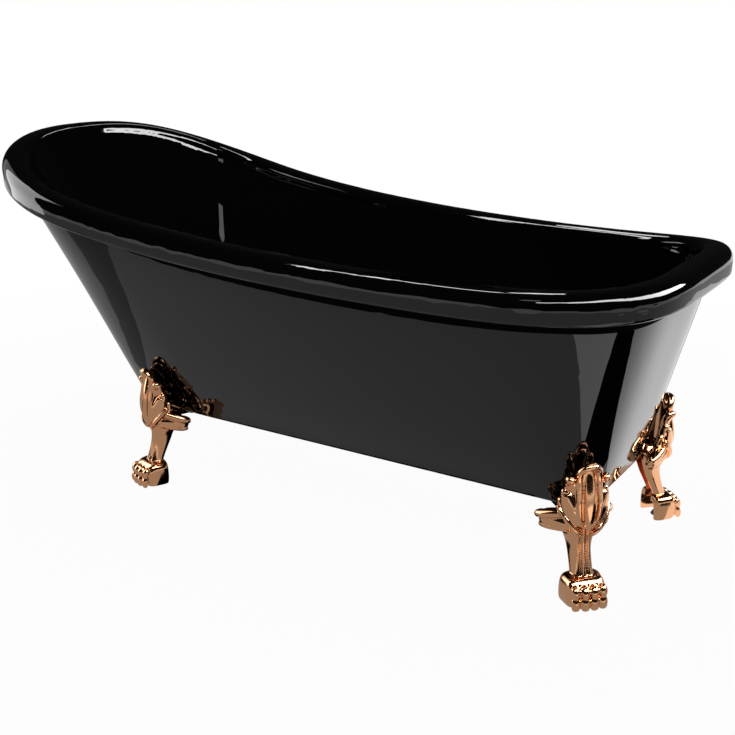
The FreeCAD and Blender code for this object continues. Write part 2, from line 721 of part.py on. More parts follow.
block_height = board_under - size("carrier_gap") - base_z - wall
plate_reach = size("plate_inner") - size("plate_outer")
block_reach = size("plate_inner") - size("block_outer")
for name, placement in FEET:
    gasket = Part.makeBox(plate_reach, size("plate_width"), size("gasket_thickness"))
    gasket = gasket.cut([Part.makeCylinder(size("bolt_hole_diameter") / 2, 8, V(x + size("plate_inner"),
                        y + size("plate_width") / 2, -2)) for x, y in bolt_places])
    pad = solid_part("foot_gasket_" + name, gasket)
    pad.Placement = at(placement, -size("plate_inner"), -size("plate_width") / 2, gasket_under)
    SUB_PARTS.append(pad)

    block = Part.makeBox(block_reach, size("plate_width"), block_height)
    cuts = []
    for x, y in bolt_places:
        axis = V(x + size("plate_inner"), y + size("plate_width") / 2, 0)
        cuts.append(Part.makeCylinder(size("bolt_hole_diameter") / 2, 2 * block_height, axis - V(0, 0, 5)))
        pocket = axis + V(0, 0, block_height - size("nut_pocket_depth"))
        cuts.append(Part.makeCylinder(size("nut_pocket_diameter") / 2, block_height, pocket))
    corner_block = solid_part("corner_block_" + name, block.cut(cuts))
    corner_block.Placement = at(placement, -size("plate_inner"), -size("plate_width") / 2, base_z + wall)
    SUB_PARTS.append(corner_block)

    seat = base_z + wall + block_height - size("nut_pocket_depth")
    bolt_top = seat + size("washer_thickness") + size("nut_height") + 2
    bolts = []
    nuts = []
    for x, y in bolt_places:
        head_low = plate_under - size("bolt_head_height")
        head = Part.Face(Part.makePolygon([
            V(x + size("bolt_head_flats") / math.sqrt(3) * math.cos(math.radians(60 * k)),
              y + size("bolt_head_flats") / math.sqrt(3) * math.sin(math.radians(60 * k)), head_low)
            for k in range(7)])).extrude(V(0, 0, size("bolt_head_height")))
        rod = Part.makeCylinder(size("bolt_diameter") / 2, bolt_top - plate_under, V(x, y, plate_under))
        bolts.append(head.fuse(rod))
        washer = Part.makeCylinder(size("washer_diameter") / 2, size("washer_thickness"), V(x, y, seat))
        nut = Part.Face(Part.makePolygon([
            V(x + size("bolt_head_flats") / math.sqrt(3) * math.cos(math.radians(60 * k)),
              y + size("bolt_head_flats") / math.sqrt(3) * math.sin(math.radians(60 * k)),
              seat + size("washer_thickness")) for k in range(7)])).extrude(V(0, 0, size("nut_height")))
        hole = Part.makeCylinder(size("bolt_diameter") / 2 + slack / 2, 40, V(x, y, seat - 10))
        nuts.append(washer.fuse(nut).cut(hole))
    for label, shapes in (("foot_bolts_", bolts), ("foot_nuts_", nuts)):
        group = solid_part(label + name, Part.makeCompound(shapes))
        group.Placement = placement
        SUB_PARTS.append(group)

    screw = helper("Part::Cylinder", "leveller_screw_" + name, Radius="screw_diameter / 2", Height="screw_length")
    screw.Placement = at(placement, screw_x, 0, size("pad_thickness"))
    SUB_PARTS.append(screw)
    sole_pad = Part.makeCone(size("pad_diameter") / 2, size("pad_diameter") / 2 - 4, size("pad_thickness"))
    glide = solid_part("leveller_pad_" + name, sole_pad)
    glide.Placement = at(placement, screw_x, 0, 0)
    SUB_PARTS.append(glide)

# ---------------------------------------------------------------------------
# Waste: a flanged strainer through the well floor, screwed into a tee below it,
# with a plug that rises on its stem.

seal_t = size("seal_thickness")
barrel_r = size("barrel_diameter") / 2
flange_z = floor_z + seal_t
flange_top = flange_z + size("flange_thickness")
bore_r = size("waste_bore") / 2
stem_r = size("stem_diameter") / 2
hub_r = stem_r + 4
barrel_low = floor_z - 32
centre = V(drain_x, 0, 0)


def ring_solid(outer, bore, low, high):
    tube = Part.makeCylinder(outer, high - low, centre + V(0, 0, low))
    return tube.cut(Part.makeCylinder(bore, high - low + 2, centre + V(0, 0, low - 1)))


flange_r = size("flange_diameter") / 2
flange_blank = Part.makeCylinder(flange_r, size("flange_thickness"), centre + V(0, 0, flange_z))
flange_rim = [e for e in flange_blank.Edges if e.BoundBox.ZMin > flange_top - 0.1]
flange_blank = flange_blank.makeFillet(size("flange_thickness") * 0.6, flange_rim)
flange_barrel = Part.makeCylinder(barrel_r, flange_z - barrel_low + 1, centre + V(0, 0, barrel_low))
waste_flange = flange_blank.fuse(flange_barrel)
waste_flange = waste_flange.cut(Part.makeCylinder(bore_r, 80, centre + V(0, 0, barrel_low - 10)))
web_low = barrel_low + 8
web_high = web_low + 6
spokes = []
for arm in range(3):
    spoke = Part.makeBox(bore_r + 1, 3, web_high - web_low, V(0, -1.5, 0))
    spoke.rotate(V(0, 0, 0), V(0, 0, 1), 120 * arm + 60)
    spoke.translate(centre + V(0, 0, web_low))
    spokes.append(spoke)
hub_hole = Part.makeCylinder(hub_r - 2 + slack / 2, 40, centre + V(0, 0, web_low - 10))
hub = Part.makeCylinder(hub_r, web_high - web_low, centre + V(0, 0, web_low))
SUB_PARTS.append(solid_part("waste_flange", waste_flange.fuse(spokes + [hub]).cut(hub_hole)))
SUB_PARTS.append(solid_part("waste_seal_upper", ring_solid(flange_r - 2, barrel_r + slack, floor_z, flange_z)))

body_top = board_top - seal_t
body_r = size("body_diameter") / 2
body_flange_r = size("body_flange_diameter") / 2
SUB_PARTS.append(solid_part("waste_seal_lower", ring_solid(body_flange_r, barrel_r + slack, body_top, board_top)))

cartridge_low = web_low - 6
cartridge_high = floor_z - 3
cartridge = ring_solid(hub_r - 2, stem_r + size("stem_clearance"), cartridge_low, cartridge_high)
cartridge_lock = ring_solid(hub_r, hub_r - 2 - 0.5, web_high, web_high + 3)
SUB_PARTS.append(solid_part("click_cartridge", cartridge.fuse(cartridge_lock)))

# The tee: a cup that takes the barrel, a side inlet for the overflow, and the outlet.
pipe_z = size("pipe_height")
pipe_r = size("pipe_diameter") / 2
inlet_end = drain_x + body_r + 18
outlet_r = size("outlet_diameter") / 2
outlet_low = size("outlet_end_height")
cup_low = pipe_z - pipe_r - 8
cup = Part.makeCylinder(body_r, body_top - cup_low, centre + V(0, 0, cup_low))
cup_flange = Part.makeCylinder(body_flange_r, 4, centre + V(0, 0, body_top - 4))
outlet = Part.makeCylinder(outlet_r, cup_low - outlet_low + 1, centre + V(0, 0, outlet_low))
inlet = Part.makeCylinder(pipe_r + 4, inlet_end - drain_x, V(drain_x, 0, pipe_z), V(1, 0, 0))
tee = cup.fuse([cup_flange, outlet, inlet])
tee_cuts = [
    Part.makeCylinder(barrel_r + slack, body_top - barrel_low + 10, centre + V(0, 0, barrel_low - slack)),
    Part.makeCylinder(size("outlet_bore") / 2, 200, centre + V(0, 0, outlet_low - 10)),
    Part.makeCylinder(pipe_r + slack, 60, V(inlet_end - 14, 0, pipe_z), V(1, 0, 0)),
    Part.makeCylinder(size("pipe_bore") / 2, inlet_end - drain_x, V(drain_x, 0, pipe_z), V(1, 0, 0)),
]
SUB_PARTS.append(solid_part("waste_tee", tee.cut(tee_cuts)))

# Plug: domed cap, seal and stem, one moving piece on the click cartridge.
cap_r = size("cap_diameter") / 2
cap_low = flange_top + seal_t + 0.1
cap = Part.makeCylinder(cap_r, size("cap_thickness"), centre + V(0, 0, cap_low))
cap_rim = [e for e in cap.Edges if e.BoundBox.ZMin > cap_low + size("cap_thickness") - 0.1]
SUB_PARTS.append(solid_part("plug_cap", cap.makeFillet(size("cap_dome"), cap_rim)))
SUB_PARTS.append(solid_part("plug_seal", ring_solid(cap_r - 3, bore_r + 1.5, flange_top + 0.1, cap_low)))
stem_low = web_low - 2
stem = helper("Part::Cylinder", "plug_stem", Radius="stem_diameter / 2")
stem.Height = cap_low - stem_low
stem.Placement = FreeCAD.Placement(centre + V(0, 0, stem_low), FreeCAD.Rotation())
SUB_PARTS.append(stem)

# ---------------------------------------------------------------------------
# Overflow: a slotted face in the end wall, an elbow behind it, and a pipe that
# comes down between the shells to the tee.

face_r = size("overflow_face_diameter") / 2
face_depth = size("overflow_face_depth")
hole_r = size("overflow_hole_diameter") / 2
dish = Part.makeCylinder(face_r, face_depth, V(0, 0, -face_depth))
dish_rim = [e for e in dish.Edges if e.BoundBox.ZMax < -face_depth + 0.1]
dish = dish.makeFillet(face_depth * 0.45, dish_rim)
dish = dish.cut(Part.makeCylinder(face_r - 3, face_depth - 2.5, V(0, 0, -face_depth + 2.5)))
slots = []
for k in range(-2, 3):
    slot = Part.makeBox(14, 5, 12, V(-face_r - 4, -2.5, -face_depth + 3.2))
    slot.rotate(V(0, 0, 0), V(0, 0, 1), 180 + 17 * k)
    slots.append(slot)
screw_post = Part.makeCylinder(5, face_depth - 2.5 + 16, V(0, 0, -face_depth + 2.5))
overflow_face = solid_part("overflow_face", dish.cut(slots).fuse(screw_post))
overflow_face.Placement = overflow_place(0)
SUB_PARTS.append(overflow_face)

seal_ring = Part.makeCylinder(size("elbow_diameter") / 2 + 2, seal_t)
seal_ring = seal_ring.cut(Part.makeCylinder(hole_r, 3 * seal_t, V(0, 0, -seal_t)))
overflow_seal = solid_part("overflow_seal", seal_ring)
overflow_seal.Placement = overflow_place(wall + slack)
SUB_PARTS.append(overflow_seal)

elbow_depth = size("elbow_depth")
elbow_r = size("elbow_diameter") / 2
elbow_wall = 2.3
drop_length = elbow_r + 14
socket_depth = 12
stub_r = pipe_r + elbow_wall
stub_axis = stub_r + slack
stub_start = elbow_r - 6
elbow = Part.makeCylinder(elbow_r, elbow_depth)
elbow_stub = Part.makeCylinder(stub_r, drop_length - stub_start, V(stub_start, 0, stub_axis), V(1, 0, 0))
elbow = elbow.fuse(elbow_stub)
elbow_cuts = [
    Part.makeCylinder(elbow_r - elbow_wall, elbow_depth - elbow_wall, V(0, 0, -0.01)),
    Part.makeCylinder(pipe_r + slack, 40, V(drop_length - socket_depth, 0, stub_axis), V(1, 0, 0)),
    Part.makeCylinder(size("pipe_bore") / 2 - 1, drop_length, V(0, 0, stub_axis), V(1, 0, 0)),
]
elbow = elbow.cut(elbow_cuts)
overflow_elbow = solid_part("overflow_elbow", elbow)
overflow_elbow.Placement = overflow_place(wall + slack + seal_t)
SUB_PARTS.append(overflow_elbow)

# Pipe route: from the elbow's socket, down along the end wall, round one bend, to the tee.
pipe_start = overflow_elbow.Placement.multVec(V(drop_length - socket_depth + 1, 0, stub_axis))
down = OVERFLOW_TURN.multVec(V(1, 0, 0))
corner = pipe_start + down * ((pipe_start.z - pipe_z) / -down.z)
pipe_end = V(inlet_end - 13, 0, pipe_z)
bend = size("pipe_bend_radius")
turned = math.acos(down.dot(V(-1, 0, 0)))
reach = bend * math.tan(turned / 2)
bend_in = corner - down * reach
bend_out = corner + V(-1, 0, 0) * reach
bend_middle_dir = ((bend_in + bend_out) * 0.5 - corner).normalize()
bend_centre = corner + bend_middle_dir * (bend / math.cos(turned / 2))
bend_middle = bend_centre - bend_middle_dir * bend
path = Part.Wire([
    Part.makeLine(pipe_start, bend_in),
    Part.Arc(bend_in, bend_middle, bend_out).toShape(),
    Part.makeLine(bend_out, pipe_end),
])


def swept_pipe(radius):
    circle = Part.Wire([Part.Circle(pipe_start, down, radius).toShape()])
    return path.makePipeShell([circle], True, False)


pipe = swept_pipe(pipe_r).cut(swept_pipe(size("pipe_bore") / 2))
SUB_PARTS.append(solid_part("overflow_pipe", pipe))

nut_r = size("compression_nut_diameter") / 2
nut_blank = Part.makeCylinder(nut_r, 14).cut(Part.makeCylinder(pipe_r + slack, 30, V(0, 0, -5)))
nut_blank = nut_blank.cut(Part.makeCylinder(pipe_r + 4 + slack, 10, V(0, 0, -0.01)))
tee_nut = solid_part("tee_nut", nut_blank)
tee_nut.Placement = FreeCAD.Placement(V(inlet_end - 9, 0, pipe_z), FreeCAD.Rotation(V(0, 1, 0), 90))
SUB_PARTS.append(tee_nut)

# ---------------------------------------------------------------------------
# Every feature and every sub-part is tested before anything is written.

doc.recompute()
failed = [thing.Name for thing in doc.Objects if "Invalid" in thing.State or "Error" in thing.State]
if failed:
    raise RuntimeError("features that failed: " + ", ".join(failed))
os.makedirs("parts", exist_ok=True)
for part in SUB_PARTS:
    shape = part.Shape
    if shape.isNull() or not shape.isValid() or not shape.Solids:
        raise RuntimeError("bad shape: " + part.Label)
    if shape.Volume <= 0:
        raise RuntimeError("inside out: " + part.Label)
for part in SUB_PARTS:
    part.Shape.exportStep("parts/" + part.Label + ".step")
print("%d sub-parts written" % len(SUB_PARTS))
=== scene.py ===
import bpy
import bmesh
import math

import numpy as np
from mathutils import Matrix, Vector
from mathutils.bvhtree import BVHTree


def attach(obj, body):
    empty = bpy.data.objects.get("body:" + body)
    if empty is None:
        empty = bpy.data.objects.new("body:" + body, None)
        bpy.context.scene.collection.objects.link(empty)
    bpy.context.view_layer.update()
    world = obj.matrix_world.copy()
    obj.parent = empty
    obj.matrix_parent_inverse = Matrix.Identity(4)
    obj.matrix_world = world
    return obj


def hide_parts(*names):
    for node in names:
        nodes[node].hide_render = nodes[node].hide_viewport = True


# Slipper bath with a rolled rim on four cast claw feet, in metres.
# +X is the low squared foot end, -X the high round head end, -Y the near side.

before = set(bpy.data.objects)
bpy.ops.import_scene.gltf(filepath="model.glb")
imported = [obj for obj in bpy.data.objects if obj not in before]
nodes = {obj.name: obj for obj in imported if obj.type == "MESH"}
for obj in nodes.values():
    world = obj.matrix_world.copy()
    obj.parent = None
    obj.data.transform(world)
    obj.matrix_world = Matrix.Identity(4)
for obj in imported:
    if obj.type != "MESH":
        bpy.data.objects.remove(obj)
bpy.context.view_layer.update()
bpy.ops.object.select_all(action="DESELECT")

# --- Studio -----------------------------------------------------------------
# Pale floor, white backdrop and soft light. Polished surfaces see little of these,
# only a low band under the cloth's hem: a dark cloth, cards and bright panels, seen
# by them alone, stand in front of the rest.

look_at = Vector((0.0730, 0.0, 0.2874))
view_turn = math.radians(32.459)
view_tilt = math.radians(17.924)
view_distance = 2.347
sensor_width = 36.0
focal_pixels = 1059.05
photo_pixels = 735.0
towards_viewer = Vector((
    math.sin(view_turn) * math.cos(view_tilt),
    -math.cos(view_turn) * math.cos(view_tilt),
    math.sin(view_tilt),
))
bpy.ops.object.camera_add(location=look_at + towards_viewer * view_distance)
viewpoint = bpy.context.object
viewpoint.name = "viewpoint"
viewpoint.rotation_euler = towards_viewer.to_track_quat("Z", "Y").to_euler()
viewpoint.data.sensor_width = sensor_width
viewpoint.data.lens = sensor_width * focal_pixels / photo_pixels
bpy.context.scene.camera = viewpoint
bpy.context.scene.view_settings.view_transform = "Standard"


def seen_directly(tree):
    """One where the backdrop is seen, straight or in a mirror, and nought where it lights things."""
    path = tree.nodes.new("ShaderNodeLightPath")
    seen = path.outputs["Is Camera Ray"]
    for ray in ("Is Glossy Ray", "Is Transmission Ray"):
        either = tree.nodes.new("ShaderNodeMath")
        either.operation = "MAXIMUM"
        tree.links.new(seen, either.inputs[0])
        tree.links.new(path.outputs[ray], either.inputs[1])
        seen = either.outputs[0]
    return seen


studio = bpy.data.worlds.new("studio")
bpy.context.scene.world = studio
studio.use_nodes = True
tree = studio.node_tree
tree.nodes.clear()
backdrop_white = tree.nodes.new("ShaderNodeBackground")
backdrop_white.inputs["Color"].default_value = (1.0, 1.0, 1.0, 1.0)
fill_light = tree.nodes.new("ShaderNodeBackground")
fill_light.inputs["Color"].default_value = (0.97, 0.98, 1.0, 1.0)
fill_light.inputs["Strength"].default_value = 0.42
backdrop_mix = tree.nodes.new("ShaderNodeMixShader")
world_out = tree.nodes.new("ShaderNodeOutputWorld")
tree.links.new(seen_directly(tree), backdrop_mix.inputs["Fac"])
tree.links.new(fill_light.outputs[0], backdrop_mix.inputs[1])
tree.links.new(backdrop_white.outputs[0], backdrop_mix.inputs[2])
tree.links.new(backdrop_mix.outputs[0], world_out.inputs["Surface"])

bpy.ops.mesh.primitive_circle_add(vertices=128, radius=9.0, fill_type="NGON", location=(0, 0, 0))
floor = bpy.context.object
floor.name = "floor"
floor_paint = bpy.data.materials.new("floor_paint")
floor_paint.use_nodes = True
tree = floor_paint.node_tree
tree.nodes.clear()
floor_body = tree.nodes.new("ShaderNodeBsdfDiffuse")
floor_body.inputs["Color"].default_value = (0.82, 0.82, 0.82, 1.0)
floor_white = tree.nodes.new("ShaderNodeEmission")
floor_white.inputs["Color"].default_value = (1.0, 1.0, 1.0, 1.0)
floor_white.inputs["Strength"].default_value = 1.0
floor_place = tree.nodes.new("ShaderNodeTexCoord")
floor_reach = tree.nodes.new("ShaderNodeVectorMath")
floor_reach.operation = "LENGTH"
floor_fade = tree.nodes.new("ShaderNodeMapRange")
floor_fade.interpolation_type = "SMOOTHSTEP"
floor_fade.inputs["From Min"].default_value = 0.9
floor_fade.inputs["From Max"].default_value = 2.6
floor_fade.inputs["To Min"].default_value = 0.96
floor_fade.inputs["To Max"].default_value = 1.0
floor_share = tree.nodes.new("ShaderNodeMath")
floor_share.operation = "MULTIPLY"
tree.links.new(floor_place.outputs["Object"], floor_reach.inputs[0])
tree.links.new(floor_reach.outputs["Value"], floor_fade.inputs["Value"])
tree.links.new(floor_fade.outputs["Result"], floor_share.inputs[1])
tree.links.new(seen_directly(tree), floor_share.inputs[0])
floor_mix = tree.nodes.new("ShaderNodeMixShader")
floor_out = tree.nodes.new("ShaderNodeOutputMaterial")
tree.links.new(floor_share.outputs[0], floor_mix.inputs["Fac"])
tree.links.new(floor_body.outputs[0], floor_mix.inputs[1])
tree.links.new(floor_white.outputs[0], floor_mix.inputs[2])
tree.links.new(floor_mix.outputs[0], floor_out.inputs["Surface"])
floor.data.materials.append(floor_paint)


def studio_card(card, name, strength):
    """Makes this object a white card that only shows in polished surfaces."""
    card.name = name
    card.visible_camera = False
    card.visible_diffuse = False
    card.visible_transmission = False
    card.visible_volume_scatter = False
    card.visible_shadow = False
    paint = bpy.data.materials.new(name)
    paint.use_nodes = True
    paint.node_tree.nodes.clear()
    glow = paint.node_tree.nodes.new("ShaderNodeEmission")
    glow.inputs["Color"].default_value = (1.0, 1.0, 1.0, 1.0)
    glow.inputs["Strength"].default_value = strength
    out = paint.node_tree.nodes.new("ShaderNodeOutputMaterial")
    paint.node_tree.links.new(glow.outputs[0], out.inputs["Surface"])
    card.data.materials.append(paint)


cloth_reach = 3.9
cloth_hem = 0.3
cloth_glow = 0.012
bpy.ops.mesh.primitive_uv_sphere_add(segments=96, ring_count=48, radius=cloth_reach, location=(0, 0, 0))
bpy.ops.object.mode_set(mode="EDIT")
bpy.ops.mesh.select_all(action="SELECT")
bpy.ops.mesh.bisect(plane_co=(0, 0, cloth_hem), plane_no=(0, 0, 1), clear_inner=True)
bpy.ops.object.mode_set(mode="OBJECT")
studio_card(bpy.context.object, "dark_cloth", cloth_glow)


def sheet_card(name, points, faces, strength):
    """A studio card with these points and faces."""
    sheet = bpy.data.meshes.new(name)
    sheet.from_pydata(points, [], faces)
    card = bpy.data.objects.new(name, sheet)
    bpy.context.collection.objects.link(card)
    studio_card(card, name, strength)


def floor_card(name, corners, strength, level=0.002):
    """A card laid on the floor, round the bath or under it."""
    points = [(x, y, level) for x, y in corners]
    sheet_card(name, points, [tuple(range(len(points)))], strength)


panel_reach = 3.3


def hung_panel(name, edges, strength):
    """A bright panel inside the cloth: rows of bearing from +Y, lower and upper angle of sight."""
    points = []
    for bearing, low, high in edges:
        turn = math.radians(bearing)
        for sight in (low, high):
            rise = math.radians(sight)
            level = panel_reach * math.cos(rise)
            points.append((level * math.sin(turn), level * math.cos(turn), panel_reach * math.sin(rise)))
    faces = [(2 * i, 2 * i + 1, 2 * i + 3, 2 * i + 2) for i in range(len(edges) - 1)]
    sheet_card(name, points, faces, strength)


# The cards and panels below glow only in polished surfaces: the bright ones paint the highlights and
# reflections there, the black ones paint dark patches in them.
floor_card("floor_tone", [(-3.4, -3.4), (3.4, -3.4), (3.4, 3.4), (-3.4, 3.4)], 0.46, 0.001)
# A black card under the bath: painted shade, seen in the gloss as a dark line along the skirt's foot.
floor_card("painted_shade_under_bath", [(-0.42, -0.262), (0.50, -0.262), (0.50, 0.19), (-0.42, 0.19)], 0.0)
# A dim card beside the head end: painted shade in the floor's reflection there.
floor_card("painted_shade_by_head", [(-0.72, -0.22), (-1.45, -1.30), (-1.75, -0.75), (-0.85, -0.15)], 0.2)
floor_card("end_reflector", [(0.60, 0.19), (1.60, 0.19), (1.60, 2.40), (0.60, 2.40)], 1.25)
floor_card("corner_reflector", [(0.86, -0.95), (1.75, -0.95), (1.75, -0.33), (0.86, -0.33)], 1.5)
floor_card("corner_flag", [(0.86, -0.33), (1.75, -0.33), (1.75, 0.19), (0.86, 0.19)], 0.0)
hung_panel("head_panel", [(-127, 3, 50), (-112, 3, 52), (-95, 3, 52)], 3.9)
hung_panel("head_panel_edge", [(-95, 4, 50), (-84, 6, 46)], 0.6)
hung_panel("back_panel", [
    (40, 23, 31), (50, 23, 35), (60, 23, 39), (72, 25, 40), (85, 27, 44), (97, 33, 47), (109, 36, 48),
], 17.0)
hung_panel("side_panel", [
    (109, 38, 53), (118, 42, 55), (130, 45, 56), (145, 46, 53), (160, 46, 50), (172, 42, 46),
], 17.0)
sheet_card("well_flag", [
    (0.25, -0.3, 0.62), (0.25, 0.25, 0.62), (0.25, 0.25, 0.82), (0.25, -0.3, 0.82),
], [(0, 1, 2, 3)], 0.0)
hung_panel("top_panel", [
    (-136, 59.5, 62), (-123, 64, 67), (-110, 69, 72.5), (-96, 71, 74),
    (-80, 73, 76), (-54, 74, 77), (-40, 73, 76),
], 15.0)
hung_panel("far_panel", [(-27, 63, 67), (-20, 54, 64), (-14, 46, 54)], 9.0)
hung_panel("near_panel", [(172, 54, 60), (180, 51, 58)], 2.0)

ceiling_radius = 1.6
ceiling_radiance = 1.0
ceiling_height = 3.25
bpy.ops.object.light_add(type="AREA", location=(0.0, 0.0, ceiling_height))
ceiling = bpy.context.object
ceiling.name = "ceiling_light"
ceiling.data.shape = "DISK"
ceiling.data.size = 2 * ceiling_radius
ceiling.data.energy = ceiling_radiance * math.pi * math.pi * ceiling_radius ** 2
ceiling.visible_glossy = False

# --- Shells -----------------------------------------------------------------
# Basin and outer skirt: acrylic sheet, coloured black right through, formed over
# a mould and polished to a mirror gloss. Up close the gloss has a faint ripple.


def surface_ripple():
    """Node group: height and wear of a hand-finished surface, from two sizes of noise."""
    group = bpy.data.node_groups.new("surface_ripple", "ShaderNodeTree")
    for name, value in (("Scale", 4.0), ("Haze Low", 0.03), ("Haze High", 0.06)):
        socket = group.interface.new_socket(name=name, in_out="INPUT", socket_type="NodeSocketFloat")
        socket.default_value = value
    group.interface.new_socket(name="Height", in_out="OUTPUT", socket_type="NodeSocketFloat")
    group.interface.new_socket(name="Roughness", in_out="OUTPUT", socket_type="NodeSocketFloat")
    entry = group.nodes.new("NodeGroupInput")
    leave = group.nodes.new("NodeGroupOutput")
    place = group.nodes.new("ShaderNodeTexCoord")
    swell = group.nodes.new("ShaderNodeTexNoise")
    swell.inputs["Detail"].default_value = 2.0
    haze = group.nodes.new("ShaderNodeTexNoise")
    haze.inputs["Detail"].default_value = 5.0
    haze.inputs["Roughness"].default_value = 0.62
    finer = group.nodes.new("ShaderNodeMath")
    finer.operation = "MULTIPLY"
    finer.inputs[1].default_value = 5.5
    spread = group.nodes.new("ShaderNodeMapRange")
    spread.inputs["From Min"].default_value = 0.35
    spread.inputs["From Max"].default_value = 0.7
    link = group.links.new
    link(place.outputs["Object"], swell.inputs["Vector"])
    link(place.outputs["Object"], haze.inputs["Vector"])
    link(entry.outputs["Scale"], swell.inputs["Scale"])
    link(entry.outputs["Scale"], finer.inputs[0])
    link(finer.outputs[0], haze.inputs["Scale"])
    link(haze.outputs["Fac"], spread.inputs["Value"])
    link(entry.outputs["Haze Low"], spread.inputs["To Min"])
    link(entry.outputs["Haze High"], spread.inputs["To Max"])
    link(swell.outputs["Fac"], leave.inputs["Height"])
    link(spread.outputs["Result"], leave.inputs["Roughness"])
    return group


RIPPLE = surface_ripple()


def finish(name, colour, haze, scale=6.0, bump=0.02, depth=0.001, metallic=0.0, ior=1.5):
    """A material with its ripple and haze; haze is its least and greatest roughness."""
    paint = bpy.data.materials.new(name)
    paint.use_nodes = True
    tree = paint.node_tree
    shader = tree.nodes["Principled BSDF"]
    shader.inputs["Base Color"].default_value = (*colour, 1.0)
    shader.inputs["Metallic"].default_value = metallic
    shader.inputs["IOR"].default_value = ior
    ripple = tree.nodes.new("ShaderNodeGroup")
    ripple.node_tree = RIPPLE
    ripple.inputs["Scale"].default_value = scale
    ripple.inputs["Haze Low"].default_value = haze[0]
    ripple.inputs["Haze High"].default_value = haze[1]
    relief = tree.nodes.new("ShaderNodeBump")
    relief.inputs["Strength"].default_value = bump
    relief.inputs["Distance"].default_value = depth
    tree.links.new(ripple.outputs["Height"], relief.inputs["Height"])
    tree.links.new(relief.outputs["Normal"], shader.inputs["Normal"])
    tree.links.new(ripple.outputs["Roughness"], shader.inputs["Roughness"])
    return paint


def dress(node, paint):
    """Gives a carried-over solid its finish."""
    mesh = nodes[node].data
    mesh.materials.clear()
    mesh.materials.append(paint)


black_acrylic = finish(
    "black_acrylic", (0.0016, 0.0016, 0.0018), (0.012, 0.035), 3.0, 0.004, 0.0004, ior=1.49)
for shell in ("basin", "outer_skirt"):
    dress(shell, black_acrylic)

# Rim joint: a fine black sealant bead under the lip, and the adhesive above it.
dress("lip_seal", finish("black_sealant", (0.008, 0.008, 0.009), (0.45, 0.6), 60.0, 0.2))
dress("rim_bond", finish("cured_adhesive", (0.55, 0.53, 0.48), (0.5, 0.7), 40.0, 0.4))


# Below the lip a fine matt black band down the skirt paints the shade line under the lip. It follows the
# lip's lowest edge, found bearing by bearing from the basin. Its index is set far below a real sealant's,
# near 1.4, so that the band shows no reflection and reads black.
strip_top = -0.003
strip_foot = -0.0245
strip_face = 0.0008
strip_back = -0.0004
strip_sections = 720
strip_index = 1.06
lip_depth = 0.012
lip_bins = 180
outside = 1.5
skirt_mesh = nodes["outer_skirt"].data
skirt_tree = BVHTree.FromPolygons(
    [vert.co.copy() for vert in skirt_mesh.vertices], [tuple(face.vertices) for face in skirt_mesh.polygons])
rim_reach = {}
lip_line = {}
rim_places = []
for vert in nodes["basin"].data.vertices:
    step = round(math.atan2(vert.co.y, vert.co.x) / (2 * math.pi) * lip_bins) % lip_bins
    rim_places.append((step, vert.co.xy.length, vert.co.z))
    rim_reach[step] = max(rim_reach.get(step, 0.0), vert.co.xy.length)
for step, reach, level in rim_places:
    if reach > rim_reach[step] - lip_depth:
        lip_line[step] = min(lip_line.get(step, level), level)
lip_steps = sorted(lip_line)
lip_levels = [lip_line[step] for step in lip_steps]
strip = bmesh.new()
strip_rings = []
for place in range(strip_sections):
    turn = place / strip_sections
    bearing = 2 * math.pi * turn
    level = float(np.interp(turn * lip_bins, lip_steps, lip_levels, period=lip_bins))
    inward = Vector((-math.cos(bearing), -math.sin(bearing), 0.0))
    ring = []
    for rise, lift in (
        (strip_top, strip_back), (strip_top, strip_face), (strip_foot, strip_face), (strip_foot, strip_back),
    ):
        start = inward * -outside + Vector((0.0, 0.0, level + rise))
        hit, facing, _, _ = skirt_tree.ray_cast(start, inward)
        ring.append(strip.verts.new(hit + facing * (lift if facing.dot(inward) < 0 else -lift)))
    strip_rings.append(ring)
for ring, after in zip(strip_rings, strip_rings[1:] + strip_rings[:1]):
    for corner in range(4):
        beside = (corner + 1) % 4
        strip.faces.new((ring[corner], ring[beside], after[beside], after[corner]))
bmesh.ops.recalc_face_normals(strip, faces=strip.faces)
strip_sheet = bpy.data.meshes.new("painted_lip_shade_strip")
strip.to_mesh(strip_sheet)
strip.free()
lip_shade_band = bpy.data.objects.new("painted_lip_shade_strip", strip_sheet)
bpy.context.collection.objects.link(lip_shade_band)
# Near black with a lowered index: painted shade under the lip.
lip_shade_paint = finish("painted_lip_shade", (0.002, 0.002, 0.002), (0.6, 0.75), 60.0, 0.1, ior=strip_index)
strip_sheet.materials.append(lip_shade_paint)
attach(lip_shade_band, "bath")

# --- Carrier ----------------------------------------------------------------
# Between the shells: a base board on softwood bearers, with a block over each foot.
# The board is particle board in the record, and here has the look of pale ply.


